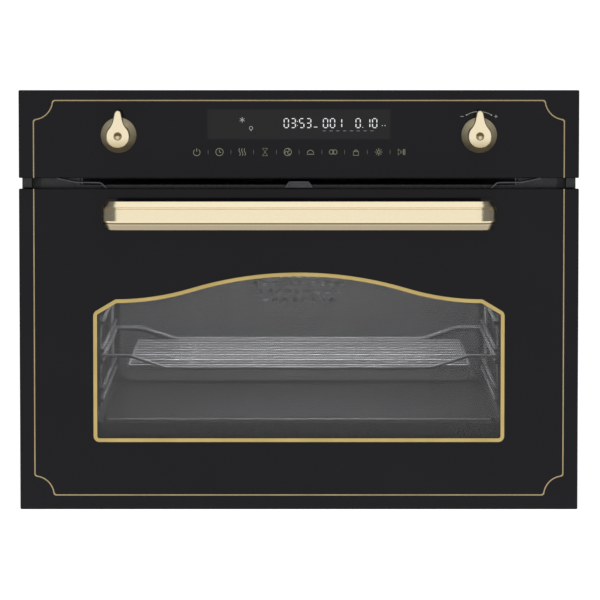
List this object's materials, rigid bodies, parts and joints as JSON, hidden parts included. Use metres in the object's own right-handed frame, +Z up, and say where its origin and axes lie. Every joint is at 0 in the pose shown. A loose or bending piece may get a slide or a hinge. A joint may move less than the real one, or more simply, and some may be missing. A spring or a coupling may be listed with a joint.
{
  "type": "built-in microwave oven",
  "caption": "Compact built-in microwave combination oven with a drop-down arched-window door, brass bar handle, two pointer knobs, wire shelf, fans and cavity hardware.",
  "frame": {"origin": "centre of the base pan's underside, on the surface that the oven stands on", "axes": "+X to the right seen from the front, +Y to the back, +Z up; the door faces -Y"},
  "size_m": [0.597, 0.628, 0.451],
  "materials": {
    "black_glass": "gloss, printed black behind",
    "window_glass": "clear grey tint",
    "lamp_glass": "clear, ribbed",
    "ceramic": "satin black glass-ceramic",
    "champagne_brass": "brushed champagne brass",
    "gold_trim": "satin gold",
    "gold_line": "printed gold line",
    "galvanised": "zinc-coated sheet",
    "black_enamel": "black vitreous enamel",
    "black_metal": "satin black paint",
    "grey_enamel": "dark grey speckled enamel",
    "grey_plastic": "moulded, grey",
    "black_plastic": "moulded, black",
    "element_steel": "heat-darkened steel",
    "wire_chrome": "chrome-plated wire",
    "screen_metal": "black-coated perforated steel",
    "aluminium": "mill finish",
    "motor_steel": "plated steel",
    "fastener_steel": "zinc-plated steel",
    "board": "circuit board",
    "seal_rubber": "silicone"
  },
  "bodies": {
    "housing": {"air_deflector": "grey_plastic", "air_duct": "galvanised", "antenna_motor": "motor_steel", "base_pan": "galvanised", "blower_housing": "black_plastic", "blower_motor": "motor_steel", "cable_gland": "black_plastic", "cavity_liner": "grey_enamel", "ceramic_floor": "ceramic", "control_panel": "black_glass", "convection_motor": "motor_steel", "display_board": "board", "door_seal": "seal_rubber", "encoder_left": "black_plastic", "encoder_right": "black_plastic", "fan_cover": "grey_enamel", "front_frame": "black_enamel", "grill_element": "element_steel", "hinge_receiver_left": "fastener_steel", "hinge_receiver_right": "fastener_steel", "housing_screws": "fastener_steel", "interlock_box": "black_plastic", "lamp_housing": "galvanised", "lamp_lens": "lamp_glass", "magnetron": "aluminium", "outer_housing": "galvanised", "panel_border_line": "gold_line", "panel_bracket": "black_metal", "power_board": "board", "rack_studs": "wire_chrome", "rear_panel": "galvanised", "ring_element": "element_steel", "side_rack_left": "wire_chrome", "side_rack_right": "wire_chrome", "side_trim_left": "black_metal", "side_trim_right": "black_metal", "terminal_block": "black_plastic", "top_tray": "galvanised", "waveguide": "galvanised"},
    "door": {"door_front_panel": "black_glass", "window_pane": "window_glass", "window_border": "gold_trim", "door_border_line": "gold_line", "door_top_trim": "black_plastic", "door_chassis": "black_enamel", "shield_screen": "screen_metal", "inner_glass": "window_glass", "door_handle": "champagne_brass", "handle_screws": "fastener_steel", "hinge_arm_left": "fastener_steel", "hinge_arm_right": "fastener_steel", "latch_hooks": "black_plastic"},
    "selector": {"knob_left": "champagne_brass", "spindle_left": "motor_steel"},
    "adjuster": {"knob_right": "champagne_brass", "spindle_right": "motor_steel"},
    "shelf": {"wire_shelf": "wire_chrome"},
    "fan": {"fan_impeller": "aluminium"},
    "blower": {"blower_wheel": "aluminium"},
    "antenna": {"antenna_rotor": "aluminium"}
  },
  "joints": [
    {"name": "door_hinge", "type": "hinge", "parent": "housing", "child": "door", "pos_m": [0, -0.283, 0.013], "axis": [1, 0, 0], "range_deg": [0, 90], "stiffness_Nm_per_rad": 4, "springref_deg": -28.65},
    {"name": "selector_turn", "type": "hinge", "parent": "housing", "child": "selector", "pos_m": [-0.192, -0.293, 0.4032], "axis": [0, 1, 0], "continuous": true},
    {"name": "adjuster_turn", "type": "hinge", "parent": "housing", "child": "adjuster", "pos_m": [0.192, -0.293, 0.4032], "axis": [0, 1, 0], "range_deg": [-32, 32], "stiffness_Nm_per_rad": 0.05},
    {"name": "shelf_slide", "type": "slide", "parent": "housing", "child": "shelf", "axis": [0, -1, 0], "range_m": [0, 0.018]},
    {"name": "fan_spin", "type": "hinge", "parent": "housing", "child": "fan", "pos_m": [0, 0.15, 0.222], "axis": [0, 1, 0], "continuous": true},
    {"name": "blower_spin", "type": "hinge", "parent": "housing", "child": "blower", "pos_m": [0, 0.15, 0.374], "axis": [1, 0, 0], "continuous": true},
    {"name": "antenna_spin", "type": "hinge", "parent": "housing", "child": "antenna", "pos_m": [0, -0.06, 0.075], "axis": [0, 0, 1], "continuous": true}
  ]
}
